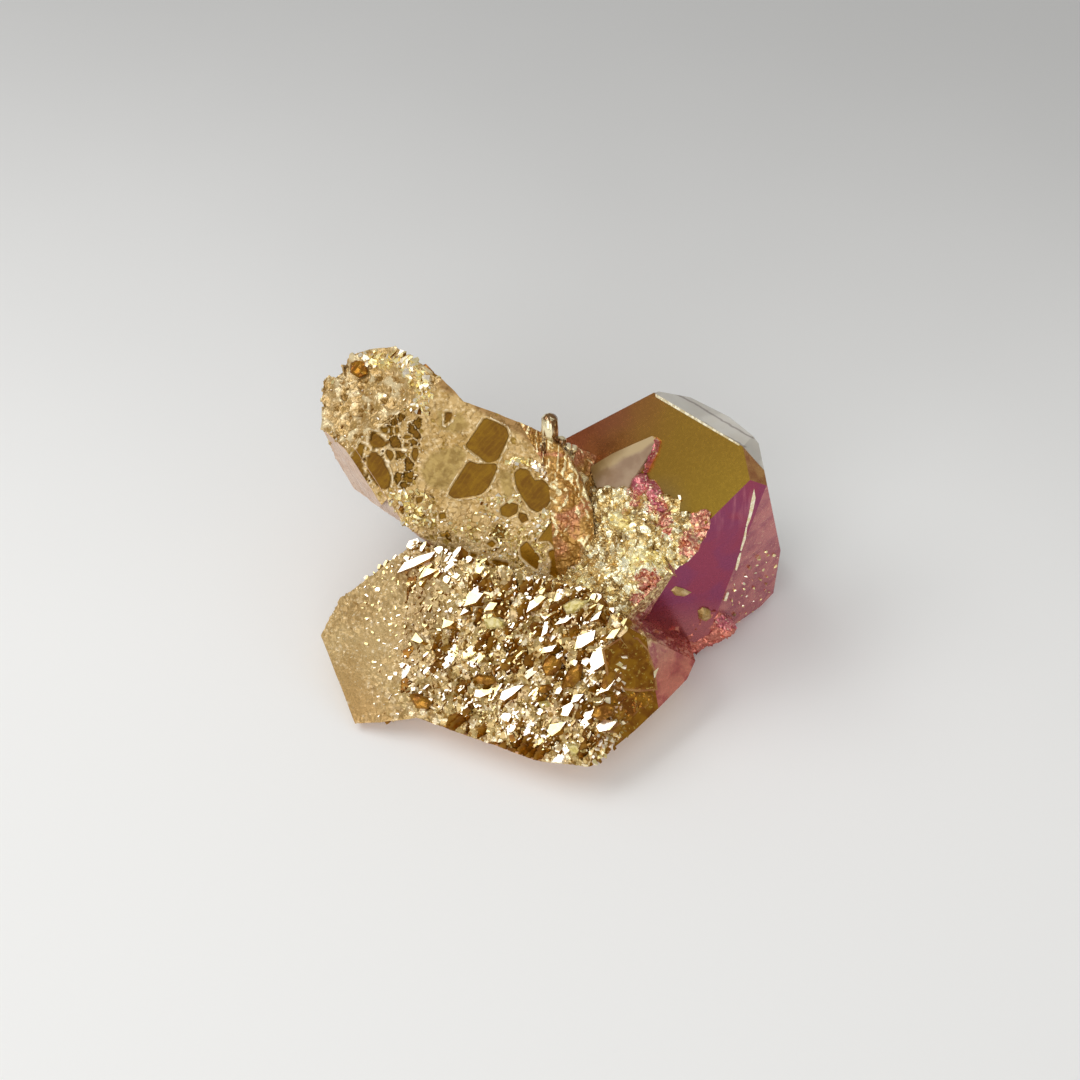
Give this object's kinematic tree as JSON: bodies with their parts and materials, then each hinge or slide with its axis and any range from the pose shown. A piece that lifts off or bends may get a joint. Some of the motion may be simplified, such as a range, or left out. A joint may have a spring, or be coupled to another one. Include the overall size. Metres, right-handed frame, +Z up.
{
  "type": "quartz crystal cluster",
  "caption": "Aura-coated quartz crystal cluster: stout points grown together with a glittering druzy crust, lying on a flat base.",
  "frame": {"origin": "centre of the footprint box, on the surface that the cluster rests on", "axes": "+X along the cluster's length, from the worn and frosted ends towards the clear-tipped point; +Y towards its back; +Z up"},
  "size_m": [0.0618, 0.0546, 0.0337],
  "materials": {
    "coated_quartz": "thin iridescent metallic coat, gold and ochre with magenta and olive faces, over clear to milky quartz"
  },
  "bodies": {
    "root": {"quartz_cluster": "coated_quartz"}
  },
  "joints": []
}
